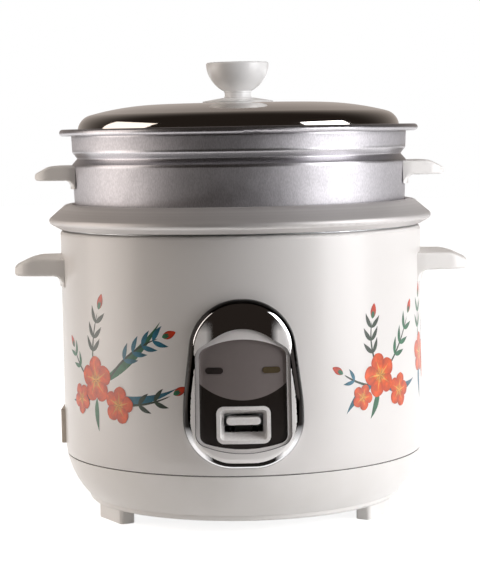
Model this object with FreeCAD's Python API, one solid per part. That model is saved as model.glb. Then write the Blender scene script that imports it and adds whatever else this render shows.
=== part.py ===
import FreeCAD, Part
import math
import os
from FreeCAD import Vector

# Drum rice cooker: a lift-out pot in a heated well, a steamer tier on the pot and a domed lid on the tier.
# Millimetres. Origin under the middle of the feet, +Z up, the switch panel faces -Y, handles on -X and +X.

# Clearances
fit_gap = 0.1            # fixed pieces that slip together
seat_gap = 0.05          # curved faces of fixed pieces that lie on each other
run_gap = 0.4            # faces that move past each other
pin_gap = 0.05           # pivot pin in its bore

# Feet, bottom cover and base ring
foot_height = 10.0
foot_width = 36.0
foot_depth = 12.0
foot_round = 3.0
foot_edge_round = 0.8    # round of the foot's lower edge
foot_inset = 2.8         # from the cover's edge to the foot's outer face
foot_peg_radius = 3.0
cover_lip = 4.0          # height of the cover's rim
cover_wall = 2.0
cover_step = 0.5         # the cover's edge stands this far inside the base ring
cover_edge_round = 2.5
cover_vents = 12
vent_length = 16.0
vent_width = 4.0
vent_circle = 66.0
base_height = 30.5       # cover rim to the seam with the drum
base_wall = 2.4
base_flange = 16.0
base_edge_round = 0.6    # round of the base ring's edge at the seam
base_tongue = 5.0        # tongue that stands inside the drum
seam_gap = 0.8           # open line between the base ring and the drum

# Drum
drum_radius = 134.0
drum_sheet = 0.8
drum_height = 165.5      # seam to the folded top
drum_fold = 6.5          # width of the inward fold at the top
drum_fold_round = 3.0
corner_radius = 62.0     # round that runs from the drum down over the base ring
corner_start = 12.0      # the round begins this far above the seam

# Heating plate and the liner under it
works_height = 31.7      # seam to the underside of the liner's floor
liner_sheet = 0.6
liner_round = 12.0
liner_hole = 24.0
post_height = 5.2
post_radius = 5.0
post_circle = 60.0
heater_inset = 2.0       # heating plate's edge inside the pot's flat bottom
heater_thickness = 14.0
heater_round = 3.0
terminal_radius = 3.0
terminal_length = 18.0
terminal_spread = 44.0
terminal_offset = 52.0

# Pot
drum_space = 17.0        # pot's inside to the drum's face
pot_sheet = 1.5
pot_round = 26.0
pot_ledge = 3.5          # ledge above the drum's top
pot_ledge_width = 6.5    # pot's inside to the collar's inside
pot_collar = 16.1        # ledge to the ring's top
pot_gap = 2.0            # pot to liner
ring_shelf = 6.5         # width of the ring's flat top
ring_fall = 1.0          # how far the flat top falls outwards
ring_shoulder_round = 5.0
ring_overhang = 10.3     # the ring's nose corner beyond the drum, before its round
ring_drop = 13.1         # the nose corner below the ring's top
ring_turn = 0.5          # turned-in edge ends this far outside the drum's face
ledge_round = 1.0
ring_gap = 1.0           # turned-in edge above the drum's top

# Steamer tier
steamer_sheet = 1.0
steamer_gap = 1.4        # foot in the pot's collar
steamer_taper = 2.0
steamer_foot_round = 1.5
steamer_depth = 44.5     # floor to the groove
groove_height = 8.8
groove_depth = 4.0
groove_round = 2.0
upper_inset = 0.4        # wall above the groove, inside the wall below it
upper_flare = 0.8
upper_height = 16.2
rim_width = 7.5
rim_round = 1.5
rim_roll = 1.5           # round of the rolled edge, inside
steam_hole_radius = 3.0
steam_hole_pitch = 30.0
steam_hole_circles = 3
holes_per_circle = 6     # more on each circle outwards

# Lid and knob
lid_sheet = 0.7
lid_gap = 0.8            # flange to the steamer's wall
lid_seat = 0.3           # flange above the slope that it rests on
lid_flange = 2.5
lid_height = 34.8
lid_crown_drop = 9.6     # crown to the shoulder's corner
lid_crown_break = 36.0   # shoulder to the place where the crown starts to fall
lid_shoulder_round = 12.5
lid_vent_radius = 1.7
lid_vent_inset = 15.0    # vent's distance from the lid's wall
collar_radius = 26.2
collar_edge = 1.6
collar_edge_round = 0.4
collar_height = 4.0
collar_shoulder = 2.0    # flat top beyond the neck
collar_round = 4.0
neck_radius = 10.2
neck_height = 5.0
neck_bead = 1.2          # height of each of the neck's two beads
neck_bead_round = 0.5
knob_radius = 23.2
knob_height = 26.2
knob_fullness = 0.66     # bowl's widening reached at the height below
knob_fullness_at = 0.34  # share of the bowl's height
knob_edge_round = 1.4
knob_rim = 1.6
knob_dish = 1.0
knob_screw_radius = 2.0
knob_screw_head = 5.0
knob_screw_length = 16.0

# Drum handles
handle_reach = 34.3      # tip beyond the drum
handle_drop = 20.2       # handle's top below the drum's top
handle_height = 12.6
handle_flare = 7.8       # root below the underside
handle_root = 1.4        # root's thickness on the drum
handle_cove = 6.5        # hollow round between root and underside
handle_width = 76.0
handle_tip_width = 61.0
handle_tip_round = 20.0
handle_slope = 11.5      # length of the sloping end
handle_nose = 7.0        # height of the tip
handle_brow_round = 14.0
handle_nose_round = 4.0
handle_lip_round = 2.6
handle_edge_round = 2.0
handle_wall = 3.6
handle_pocket_inset = 12.0  # finger pocket's start beyond the drum
handle_screw_pitch = 44.0
screw_radius = 2.0
screw_head_radius = 4.0
screw_head = 2.2
screw_grip = 8.0         # how far a handle's screw reaches into the handle

# Steamer handles
ear_reach = 27.6
ear_drop = 0.9           # ear's top below the groove
ear_height = 10.3
ear_flare = 6.3
ear_root = 1.4
ear_cove = 5.5
ear_width = 68.0
ear_tip_width = 52.0
ear_tip_round = 18.0
ear_slope = 10.0
ear_nose = 4.8
ear_brow_round = 12.0
ear_nose_round = 2.6
ear_lip_round = 2.0
ear_edge_round = 1.5
ear_rivet_pitch = 34.0
ear_rivet_radius = 2.0
ear_rivet_head = 3.5
ear_rivet_head_height = 1.0

# Front panel
panel_bottom = 5.9       # bezel's lower edge above the seam
bezel_height = 116.7
bezel_top_half = 32.6
bezel_mid_half = 41.6
bezel_mid_height = 44.6
bezel_bottom_half = 41.4
bezel_side_round = 150.0
bezel_bottom_round = 34.0
bezel_proud = 9.0
bezel_edge = 1.0         # bezel's thickness at its outer edge
ring_bottom = 11.7       # trim ring above the bezel's lower edge
bezel_brow = 19.8        # bezel's band above the trim ring
bezel_band = 9.2         # bezel's band beside the trim ring's top
bezel_jaw = 8.4          # bezel's band beside the trim ring's foot
arch_run = 1.0           # straight run between an arch and its corner
ring_arch_run = 13.0     # longer, at the trim ring's top
ring_arch_slope = 33.0   # degrees, where the top's arch meets the corner
ring_corner = 10.0
ring_sag_slope = 20.0    # the same at the foot
ring_foot_corner = 9.0
ring_proud = 7.0
plate_bottom = 2.8       # facia plate above the trim ring's lower edge
ring_brow = 7.3          # trim ring's band above the plate
ring_band = 2.8          # trim ring's band beside the plate's top
ring_jaw = 3.1           # trim ring's band beside the plate's foot
plate_arch_slope = 25.0
plate_corner = 7.0
plate_sag_slope = 15.0
plate_foot_corner = 6.0
plate_proud = 5.0
lens_width = 12.0
lens_height = 4.2
lens_spread = 39.0
lens_rise = 53.8         # lens centre above the plate's lower edge
lens_proud = 0.5
lens_depth = 5.0         # lens behind the drum's face
holder_width = 62.0
holder_height = 16.0
lamp_radius = 1.9
lamp_length = 9.0

# Switch tray and its window
tray_width = 37.0
tray_height = 25.6
tray_round = 5.0
tray_rise = 3.6          # tray above the plate's lower edge
tray_rim = 2.2
tray_proud = 6.2
tray_depth = 5.6         # tray's back behind the drum's face
window_width = 26.6
window_height = 12.5
window_round = 0.6
bar_width = 23.6
bar_height = 5.3
bar_proud = 4.0
bar_stroke = 4.7

# Lever, bracket and micro switch
lever_sheet = 1.2
lever_width = 12.0
lever_drop = 14.7        # pivot below the liner's floor
pivot_radius = 2.0
barrel_radius = 3.6
lever_bite = 1.0         # lever strip let into the barrel
lever_past = 2.0         # lever's end beyond the rod's collar
lever_bend = 3.6
bracket_sheet = 1.2
pin_end = 1.0            # pivot pin beyond the bracket, each side
bracket_inside = 17.6
bracket_depth = 40.0
bracket_length = 46.0
bracket_ahead = 34.0     # bracket's front edge ahead of the pivot
bracket_inset = 4.5      # bracket's front edge inside the liner's flat floor
bracket_flange = 14.0
bracket_screw_pitch = 34.0
micro_length = 20.0
micro_width = 8.0
micro_height = 15.0
micro_ahead = 22.0       # switch button ahead of the pivot

# Magnetic thermostat
cup_radius = 16.0
cup_wall = 1.0
cup_length = 24.0
cup_travel = 2.5
ferrite_radius = 11.0
ferrite_thickness = 6.0
magnet_radius = 10.0
magnet_thickness = 6.0
rod_radius = 2.4
rod_collar_radius = 6.0
rod_collar = 2.0
guide_radius = 22.0
guide_depth = 9.0
guide_flange = 10.0
guide_sheet = 1.2
spring_wire = 1.2
cup_spring_turns = 6
release_spring_radius = 4.4
release_spring_length = 14.0
release_spring_turns = 6

# Power inlet on the left side
inlet_rise = 7.6         # lower edge above the seam
inlet_height = 25.5
inlet_width = 44.0
inlet_proud = 1.5
inlet_neck_inset = 3.0
inlet_depth = 18.0
inlet_wall = 2.0
inlet_edge_round = 0.9
inlet_pin_radius = 2.2
inlet_pin_pitch = 12.0
inlet_pin_inset = 5.0
inlet_tail = 6.0

# Fasteners and small electrical pieces under the liner
bolt_circle = 84.0
bolt_radius = 2.0
bolt_head_radius = 4.5
bolt_head = 2.4
nut_height = 3.0
fuse_radius = 3.5
fuse_length = 20.0
warmer_radius = 8.0
warmer_height = 6.0
small_part_offset = 46.0

# Levels and radii that follow from the sizes above
lip_z = foot_height + cover_lip
seam_z = lip_z + base_height
round_z = seam_z + corner_start
drum_top = seam_z + drum_height
floor_under = seam_z + works_height
floor_top = floor_under + liner_sheet
heater_under = floor_top + post_height
heater_top = heater_under + heater_thickness
ledge_z = drum_top + pot_ledge
ring_top = ledge_z + pot_collar
groove_z = ledge_z + steamer_depth
groove_top = groove_z + groove_height
pot_radius = drum_radius - drum_space
heater_radius = pot_radius - pot_round - heater_inset
collar_inside = pot_radius + pot_ledge_width
steamer_foot = collar_inside - steamer_gap
steamer_radius = steamer_foot + steamer_taper
upper_radius = steamer_radius - upper_inset
ridge_radius = steamer_radius - groove_depth
ridge_z = groove_z + groove_height / 2
seat_slope = (groove_top - ridge_z) / (upper_radius - ridge_radius)
lid_flange_radius = upper_radius - steamer_sheet - lid_gap
seat_z = ridge_z + (lid_flange_radius - ridge_radius) * seat_slope + steamer_sheet * math.hypot(1, seat_slope)
lid_floor = seat_z + lid_seat
lid_top = lid_floor + lid_height
knob_foot = lid_top + collar_height
liner_radius = pot_radius + pot_sheet + pot_gap
drum_inside = drum_radius - drum_sheet
round_center = drum_radius - corner_radius
lever_arm = liner_radius - liner_round - bracket_inset - bracket_ahead
pivot_y = -lever_arm
pivot_z = floor_under - lever_drop

UP = Vector(0, 0, 1)
X_AXIS = Vector(1, 0, 0)
Y_AXIS = Vector(0, 1, 0)
ORIGIN = Vector(0, 0, 0)
THIRDS = (90, 210, 330)  # three-point pattern: one at the rear, two towards the front


def corner_r(z, inset=0.0):
    """Radius of the drum's lower round at a height, measured inside its skin by an inset."""
    return round_center + math.sqrt((corner_radius - inset) ** 2 - (round_z - z) ** 2)


def corner_arc(low, high, inset):
    points = [Vector(corner_r(z, inset), 0, z) for z in (low, (low + high) / 2, high)]
    return Part.Arc(*points).toShape()


def line(start, end):
    return Part.LineSegment(start, end).toShape()


def path(points, closed=False):
    """Edges in the XZ plane through (x, z, round) points. A round is limited by the runs that it joins."""
    places = [Vector(p[0], 0, p[1]) for p in points]
    count = len(points)
    runs = [places[(i + 1) % count] - places[i] for i in range(count)]
    halves = [runs[i - 1].getAngle(runs[i]) / 2 for i in range(count)]
    reaches = [0.0] * count
    for i, point in enumerate(points):
        if len(point) > 2 and (closed or 0 < i < count - 1):
            reaches[i] = point[2] * math.tan(halves[i])
    room = [1.0] * count
    for i, run in enumerate(runs):
        following = (i + 1) % count
        fill = (reaches[i] + reaches[following]) / run.Length
        room[i] = max(room[i], fill)
        room[following] = max(room[following], fill)
    stops = []
    for i, place in enumerate(places):
        reach = reaches[i] / room[i]
        if reach <= 0:
            stops.append((place, None, place))
            continue
        into = Vector(runs[i - 1]).normalize()
        out = Vector(runs[i]).normalize()
        bulge = reach / math.tan(halves[i]) * (1 / math.cos(halves[i]) - 1)
        middle = place + (out - into).normalize() * bulge
        stops.append((place - into * reach, middle, place + out * reach))
    edges = []
    for i, (start, middle, end) in enumerate(stops):
        if middle is not None:
            edges.append(Part.Arc(start, middle, end).toShape())
        if i < count - 1 or closed:
            following = stops[(i + 1) % count][0]
            if end.distanceToPoint(following) > 1e-5:
                edges.append(line(end, following))
    return edges


def beside(points, distance):
    """The open path moved sideways to its left, with its rounds kept concentric."""
    places = [Vector(p[0], 0, p[1]) for p in points]
    runs = [(b - a).normalize() for a, b in zip(places, places[1:])]
    moved = []
    for i, point in enumerate(points):
        before = runs[max(i - 1, 0)]
        after = runs[min(i, len(runs) - 1)]
        left = Vector(-before.z - after.z, 0, before.x + after.x)
        shift = left * (distance / (1 + before.dot(after)))
        place = places[i] + shift
        size = point[2] if len(point) > 2 else 0
        turn = before.x * after.z - before.z * after.x
        if size > 0:
            size = max(size - distance if turn > 0 else size + distance, 0)
        moved.append((place.x, place.z, size))
    return moved


def sheet_face(points, thickness):
    """Section of a bent sheet: a path and its copy one thickness to the left."""
    near = path(points)
    other = beside(points, thickness)
    far = path(other)
    ends = [line(Vector(points[k][0], 0, points[k][1]), Vector(other[k][0], 0, other[k][1])) for k in (0, -1)]
    return Part.Face(Part.Wire(Part.__sortEdges__(near + far + ends)))


def closed_face(points):
    return Part.Face(Part.Wire(path(points, closed=True)))


def spin(face):
    return face.revolve(ORIGIN, UP, 360)


def pressed(points, thickness):
    """Round sheet pressing."""
    return spin(sheet_face(points, thickness))


def across(face, width, middle=0.0):
    """Section in the XZ plane given a width along Y."""
    solid = face.extrude(Y_AXIS * width)
    solid.translate(Y_AXIS * (middle - width / 2))
    return solid


def disc(radius, low, high, x=0.0, y=0.0):
    return Part.makeCylinder(radius, high - low, Vector(x, y, low))


def rod_along(axis, radius, length, x, y, z):
    return Part.makeCylinder(radius, length, Vector(x, y, z), axis)


def block(low, high):
    """Box between two corners."""
    sizes = [b - a for a, b in zip(low, high)]
    return Part.makeBox(*sizes, Vector(*low))


def turned(shape, degrees, axis=UP):
    shape = shape.copy()
    shape.rotate(ORIGIN, axis, degrees)
    return shape


def around(shape, angles):
    """Copies of a shape built on +X, turned about the drum's axis."""
    return [turned(shape, angle) for angle in angles]


def save(name, shape):
    if isinstance(shape, list):
        shape = shape[0] if len(shape) == 1 else Part.makeCompound(shape)
    shape.exportStep("parts/" + name + ".step")


os.makedirs("parts", exist_ok=True)

# Bottom cover, a moulded dish with a low rim, vents and holes for feet and bolts
cover_radius = corner_r(lip_z) - cover_step
cover = pressed([
    (0, foot_height),
    (cover_radius, foot_height, cover_edge_round),
    (cover_radius, lip_z),
], cover_wall)
foot_circle = cover_radius - foot_inset - foot_depth / 2
cover_top = foot_height + cover_wall
foot_hole = disc(foot_peg_radius + fit_gap, foot_height, cover_top, foot_circle)
bolt_hole = disc(bolt_radius + fit_gap, foot_height, cover_top, bolt_circle)
vent_face = closed_face([
    (vent_circle - vent_length / 2, -vent_width / 2, vent_width / 2),
    (vent_circle + vent_length / 2, -vent_width / 2, vent_width / 2),
    (vent_circle + vent_length / 2, vent_width / 2, vent_width / 2),
    (vent_circle - vent_length / 2, vent_width / 2, vent_width / 2),
])
vent = turned(vent_face.extrude(Y_AXIS * cover_wall), -90, X_AXIS)
vent.translate(UP * cover_top)
vent_angles = [360 / cover_vents * (k + 0.5) for k in range(cover_vents)]
cover = cover.cut(around(foot_hole, THIRDS) + around(bolt_hole, THIRDS) + around(vent, vent_angles))
save("bottom_cover", cover)

# Feet, moulded blocks with a peg through the cover
foot_half = foot_width / 2
foot_face = closed_face([
    (foot_circle - foot_depth / 2, -foot_half, foot_round),
    (foot_circle + foot_depth / 2, -foot_half, foot_round),
    (foot_circle + foot_depth / 2, foot_half, foot_round),
    (foot_circle - foot_depth / 2, foot_half, foot_round),
])
foot = turned(foot_face.extrude(Y_AXIS * -foot_height), -90, X_AXIS)
foot_edges = [edge for edge in foot.Edges if edge.BoundBox.ZMax < foot_height / 2]
foot = foot.makeFillet(foot_edge_round, foot_edges)
foot = foot.fuse(disc(foot_peg_radius, foot_height / 2, cover_top, foot_circle)).removeSplitter()
for name, angle in zip(("rear_foot", "front_left_foot", "front_right_foot"), THIRDS):
    save(name, turned(foot, angle))

# Base ring, moulded, with a tongue that locates the drum and a flange that the cover meets
flange_inner = corner_r(lip_z) - base_flange
flange_top = lip_z + base_wall
tongue_inset = drum_sheet + fit_gap
tongue_z = seam_z + base_tongue
tongue_outer = corner_r(tongue_z, tongue_inset)
base_edges = [
    corner_arc(lip_z, seam_z, 0),
    line(Vector(corner_r(seam_z), 0, seam_z), Vector(corner_r(seam_z, tongue_inset), 0, seam_z)),
    corner_arc(seam_z, tongue_z, tongue_inset),
    line(Vector(tongue_outer, 0, tongue_z), Vector(corner_r(tongue_z, base_wall), 0, tongue_z)),
    corner_arc(flange_top, tongue_z, base_wall),
    line(Vector(corner_r(flange_top, base_wall), 0, flange_top), Vector(flange_inner, 0, flange_top)),
    line(Vector(flange_inner, 0, flange_top), Vector(flange_inner, 0, lip_z)),
    line(Vector(flange_inner, 0, lip_z), Vector(corner_r(lip_z), 0, lip_z)),
]
base = spin(Part.Face(Part.Wire(Part.__sortEdges__(base_edges))))
seam_edges = []
for edge in base.Edges:
    box = edge.BoundBox
    at_seam = box.ZLength < fit_gap and abs(box.ZMax - seam_z) < fit_gap
    if at_seam and abs(box.XMax - corner_r(seam_z)) < fit_gap:
        seam_edges.append(edge)
save("base_ring", base.makeFillet(base_edge_round, seam_edges))

# Outlines of the front panel's pieces, each as (half width, height, round) from top to bottom
bezel_z = seam_z + panel_bottom
ring_z = bezel_z + ring_bottom
plate_z = ring_z + plate_bottom
ring_height = bezel_height - ring_bottom - bezel_brow
ring_top_half = bezel_mid_half - bezel_band
ring_bottom_half = bezel_bottom_half - bezel_jaw
plate_height = ring_height - plate_bottom - ring_brow
plate_top_half = ring_top_half - ring_band
plate_bottom_half = ring_bottom_half - ring_jaw
bezel_lean = math.atan2(bezel_mid_half - bezel_top_half, bezel_height - bezel_mid_height)
bezel_crown = (bezel_top_half - arch_run) / math.tan((math.pi / 2 - bezel_lean) / 2)
bezel_half = [
    (bezel_top_half, bezel_z + bezel_height, bezel_crown),
    (bezel_mid_half, bezel_z + bezel_mid_height, bezel_side_round),
    (bezel_bottom_half, bezel_z, bezel_bottom_round),
]


def panel_wire(points, grow=0.0):
    """Closed outline, grown by a clearance where it is a hole."""
    wire = Part.Wire(path(points, closed=True))
    return wire.makeOffset2D(grow) if grow else wire


def both_sides(half):
    """Outline given by its right half from top to bottom, mirrored about the panel's middle line."""
    return half + [(-x, z, size) for x, z, size in reversed(half)]


def arched(half, level, slope, corner, run, upward):
    """Corner and middle of an arched edge: an arch that reaches the level, then a rounded corner."""
    slope = math.radians(slope)
    corner_reach = corner * math.tan((math.pi / 2 - slope) / 2)
    size = (half / math.cos(slope) - corner_reach - run) / math.tan(slope)
    middle = level + upward * size * (1 / math.cos(slope) - 1)
    return (half, middle - upward * half * math.tan(slope), corner), (0, middle, size)


def arched_outline(top, foot):
    """Outline with an arched top and a sagging foot, each as (half width, level, slope, corner, run)."""
    corner, crown = arched(*top, 1)
    foot, sag = arched(*foot, -1)
    left_foot = (-foot[0], foot[1], foot[2])
    left_corner = (-corner[0], corner[1], corner[2])
    return [crown, corner, foot, sag, left_foot, left_corner]


bezel_outline = both_sides(bezel_half)
ring_outline = arched_outline(
    (ring_top_half, ring_z + ring_height, ring_arch_slope, ring_corner, ring_arch_run),
    (ring_bottom_half, ring_z, ring_sag_slope, ring_foot_corner, arch_run),
)
plate_outline = arched_outline(
    (plate_top_half, plate_z + plate_height, plate_arch_slope, plate_corner, arch_run),
    (plate_bottom_half, plate_z, plate_sag_slope, plate_foot_corner, arch_run),
)


def rounded_rectangle(width, height, middle_x, middle_z, size):
    return [
        (middle_x - width / 2, middle_z - height / 2, size),
        (middle_x + width / 2, middle_z - height / 2, size),
        (middle_x + width / 2, middle_z + height / 2, size),
        (middle_x - width / 2, middle_z + height / 2, size),
    ]


def forward(wire, back, front):
    """Outline pushed towards the front, between two distances from the axis."""
    solid = Part.Face(wire).extrude(Y_AXIS * (back - front))
    solid.translate(Y_AXIS * -back)
    return solid


def on_drum(wire, proud):
    """Outline pushed forward and trimmed to a curved plate that lies on the drum."""
    solid = forward(wire, drum_radius / 2, drum_radius * 2)
    low = seam_z
    high = drum_top
    outer = disc(drum_radius + proud, low, high)
    return solid.common(outer).cut(disc(drum_radius + seat_gap, low, high))


tray_z = plate_z + tray_rise + tray_height / 2
tray_back = drum_radius - tray_depth
tray_points = rounded_rectangle(tray_width, tray_height, 0, tray_z, tray_round)
lens_z = plate_z + lens_rise


def lens_wire(side, grow=0.0):
    middle = side * lens_spread / 2
    points = rounded_rectangle(lens_width, lens_height, middle, lens_z, lens_height / 2)
    return panel_wire(points, grow)


through = (drum_radius / 2, drum_radius * 2)
tray_hole = forward(panel_wire(tray_points, fit_gap), *through)
lens_holes = [forward(lens_wire(side, fit_gap), *through) for side in (-1, 1)]

# Bezel, a domed arch of chromed plastic round the panel
bezel = on_drum(panel_wire(bezel_outline), bezel_proud)
front_edges = []
for edge in bezel.Edges:
    middle = edge.valueAt((edge.FirstParameter + edge.LastParameter) / 2)
    if math.hypot(middle.x, middle.y) > drum_radius + bezel_proud - seat_gap:
        front_edges.append(edge)
bezel = bezel.makeFillet(bezel_proud - bezel_edge, front_edges)
bezel = bezel.cut(forward(panel_wire(ring_outline, fit_gap), *through))
save("panel_bezel", bezel)

# Trim ring, facia plate and tray, nested in the bezel
trim_ring = on_drum(panel_wire(ring_outline), ring_proud)
trim_ring = trim_ring.cut(forward(panel_wire(plate_outline, fit_gap), *through))
save("panel_trim_ring", trim_ring)
plate = on_drum(panel_wire(plate_outline), plate_proud).cut([tray_hole] + lens_holes)
save("panel_plate", plate)

tray = forward(panel_wire(tray_points), tray_back, drum_radius * 2)
tray = tray.common(disc(drum_radius + tray_proud, seam_z, drum_top))
mouth_width = tray_width - 2 * tray_rim
mouth_height = tray_height - 2 * tray_rim
mouth = panel_wire(rounded_rectangle(mouth_width, mouth_height, 0, tray_z, tray_round - tray_rim))
window = panel_wire(rounded_rectangle(window_width, window_height, 0, tray_z, window_round))
mouth.translate(Y_AXIS * -(drum_radius + tray_proud + fit_gap))
window.translate(Y_AXIS * -(tray_back - fit_gap))
tray = tray.cut(Part.makeLoft([mouth, window], True, True))
save("switch_tray", tray)

# Lamp lenses, a holder behind the drum's skin and two neon lamps in it
lens_back = drum_radius - lens_depth
for name, side in (("cook_lens", -1), ("warm_lens", 1)):
    lens = forward(lens_wire(side), lens_back, drum_radius * 2)
    save(name, lens.common(disc(drum_radius + plate_proud + lens_proud, seam_z, drum_top)))
holder_back = liner_radius + liner_sheet + run_gap
holder_half = holder_width / 2
holder_low = (-holder_half, -drum_radius, lens_z - holder_height / 2)
holder = block(holder_low, (holder_half, -holder_back, lens_z + holder_height / 2))
holder = holder.common(disc(drum_inside - seat_gap, seam_z, drum_top))
lamp_pocket = lens_back - 2 * lamp_radius - fit_gap
holder = holder.cut([forward(lens_wire(side, fit_gap), lamp_pocket, drum_radius * 2) for side in (-1, 1)])
save("lamp_holder", holder)
lamp_y = -(lens_back - lamp_radius)
lamps = [
    rod_along(X_AXIS, lamp_radius, lamp_length, side * lens_spread / 2 - lamp_length / 2, lamp_y, lens_z)
    for side in (-1, 1)
]
save("neon_lamps", lamps)

# Body shell, rolled steel with a folded top edge, cut out for the panel, the inlet and the handle screws
inlet_z = seam_z + inlet_rise
inlet_middle = inlet_z + inlet_height / 2
neck_half_width = inlet_width / 2 - inlet_neck_inset
neck_half_height = inlet_height / 2 - inlet_neck_inset
neck_back = drum_radius - inlet_depth


def inlet_block(half_width, half_height, inner, outer):
    """Box through the left wall, between two distances from the axis."""
    low = (-outer, -half_width, inlet_middle - half_height)
    return block(low, (-inner, half_width, inlet_middle + half_height))


handle_top = drum_top - handle_drop
handle_under = handle_top - handle_height
handle_root_z = handle_under - handle_flare
handle_screw_z = (handle_top + handle_under) / 2


def wall_screw(inner, outer, y, z, grip, radius, head_radius, head):
    """Screw on +X: its head lies inside a round wall, its shank passes out through the wall into a handle."""
    seat = math.sqrt(inner ** 2 - (abs(y) + head_radius) ** 2) - fit_gap
    tip = math.sqrt(outer ** 2 - y ** 2) + grip
    shank = rod_along(X_AXIS, radius, tip - seat, seat, y, z)
    return rod_along(X_AXIS, head_radius, head, seat - head, y, z).fuse(shank)


def handle_pair(make):
    """What make gives for the two sides of a handle, on +X and on -X."""
    right = [make(side) for side in (-1, 1)]
    return right + [turned(shape, 180) for shape in right]


def handle_screw(side):
    y = side * handle_screw_pitch / 2
    return wall_screw(
        drum_inside, drum_radius, y, handle_screw_z, screw_grip, screw_radius, screw_head_radius, screw_head
    )


def handle_bore(side):
    y = side * handle_screw_pitch / 2
    start = drum_radius / 2
    tip = math.sqrt(drum_radius ** 2 - y ** 2) + screw_grip + fit_gap
    return rod_along(X_AXIS, screw_radius + fit_gap, tip - start, start, y, handle_screw_z)


skirt_z = seam_z + seam_gap
corner_reach = corner_radius * math.tan(math.asin((round_z - skirt_z) / corner_radius) / 2)
shell = pressed([
    (corner_r(skirt_z), skirt_z),
    (drum_radius, round_z - corner_reach, corner_radius),
    (drum_radius, drum_top, drum_fold_round),
    (drum_radius - drum_fold, drum_top),
], drum_sheet)
inlet_hole = inlet_block(neck_half_width + fit_gap, neck_half_height + fit_gap, neck_back, drum_radius * 2)
handle_bores = handle_pair(handle_bore)
save("body_shell", shell.cut([tray_hole, inlet_hole] + lens_holes + handle_bores))
save("handle_screws", handle_pair(handle_screw))

# Inner liner, the pressed well that hangs by its flange on the drum's fold
liner = pressed([
    (liner_hole, floor_top),
    (liner_radius, floor_top, liner_round),
    (liner_radius, drum_top + liner_sheet, 2 * liner_sheet),
    (drum_radius - drum_fold_round, drum_top + liner_sheet),
], -liner_sheet)
bracket_screw_x = bracket_inside / 2 + bracket_flange - screw_head_radius
bracket_front = pivot_y - bracket_ahead
bracket_middle = bracket_front + bracket_length / 2
bracket_screws_at = [
    (side * bracket_screw_x, bracket_middle + end * bracket_screw_pitch / 2)
    for side in (-1, 1)
    for end in (-1, 1)
]
terminals_at = [(side * terminal_spread / 2, terminal_offset) for side in (-1, 1)]
small_hole = screw_radius + fit_gap
liner_holes = around(disc(bolt_radius + fit_gap, floor_under, floor_top, bolt_circle), THIRDS)
liner_holes += around(disc(small_hole, floor_under, floor_top, post_circle), THIRDS)
liner_holes += [disc(small_hole, floor_under, floor_top, x, y) for x, y in bracket_screws_at]
liner_holes += [disc(2 * terminal_radius, floor_under, floor_top, x, y) for x, y in terminals_at]
save("inner_liner", liner.cut(liner_holes))

# Base bolts with their nuts, which draw the cover, base ring and drum together
bolt = disc(bolt_radius, foot_height - bolt_head, floor_top + nut_height, bolt_circle)
bolt_head_disc = disc(bolt_head_radius, foot_height - bolt_head, foot_height, bolt_circle)
nut = disc(bolt_head_radius, floor_top, floor_top + nut_height, bolt_circle)
save("base_bolts", around(bolt.fuse([bolt_head_disc, nut]), THIRDS))

# Drum handles, hollow underneath for the fingers
def handle_plan(inner, wall, tip, width, tip_width, tip_round, top, grow=0.0):
    """Handle seen from above, as a tall prism that ends at a level."""
    points = [
        (inner, -width / 2),
        (wall, -width / 2, tip_round),
        (tip, -tip_width / 2, tip_round),
        (tip, tip_width / 2, tip_round),
        (wall, width / 2, tip_round),
        (inner, width / 2),
    ]
    prism = turned(Part.Face(panel_wire(points, grow)).extrude(Y_AXIS * top), -90, X_AXIS)
    prism.translate(UP * top)
    return prism


def side_handle(wall, tip, top, under, flare, root, cove, plan, slope, nose, rounds):
    """Handle on +X that grows out of a round wall: its side view cut to its plan, the outline rounded."""
    brow_round, nose_round, lip_round, edge_round = rounds
    inner = wall / 2
    side = closed_face([
        (inner, under - flare),
        (wall + root, under - flare),
        (wall + root, under, cove),
        (tip, under, lip_round),
        (tip, under + nose, nose_round),
        (tip - slope, top, brow_round),
        (inner, top),
    ])
    handle = spin(side).common(handle_plan(inner, wall, tip + edge_round, *plan, 2 * top))
    outline = []
    for edge in handle.Edges:
        box = edge.BoundBox
        level = box.ZLength < fit_gap
        reaches = [math.hypot(point.x, point.y) for point in edge.discretize(3)]
        concentric = level and max(reaches) - min(reaches) < fit_gap
        at_foot = level and box.ZMax < under
        sunk = max(reaches) < wall
        if not concentric and not at_foot and not (sunk and not level):
            outline.append(edge)
    handle = handle.makeFillet(edge_round, outline)
    return handle.cut(disc(wall + seat_gap, 0, 2 * top))


handle_tip = drum_radius + handle_reach
handle_outline = (handle_width, handle_tip_width, handle_tip_round)
handle_rounds = (handle_brow_round, handle_nose_round, handle_lip_round, handle_edge_round)
handle = side_handle(
    drum_radius, handle_tip, handle_top, handle_under, handle_flare, handle_root, handle_cove,
    handle_outline, handle_slope, handle_nose, handle_rounds,
)
pocket_start = drum_radius + handle_pocket_inset
roof = beside([
    (pocket_start, handle_top),
    (handle_tip - handle_slope, handle_top),
    (handle_tip, handle_under + handle_nose),
    (handle_tip, handle_root_z),
], -handle_wall)
pocket = closed_face([(pocket_start, handle_root_z)] + roof)
pocket_plan = handle_plan(
    drum_radius / 2, drum_radius, handle_tip, *handle_outline, 2 * handle_top, -handle_wall
)
handle = handle.cut(across(pocket, handle_width).common(pocket_plan)).cut(handle_bores)
save("right_handle", handle)
save("left_handle", turned(handle, 180))

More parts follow.
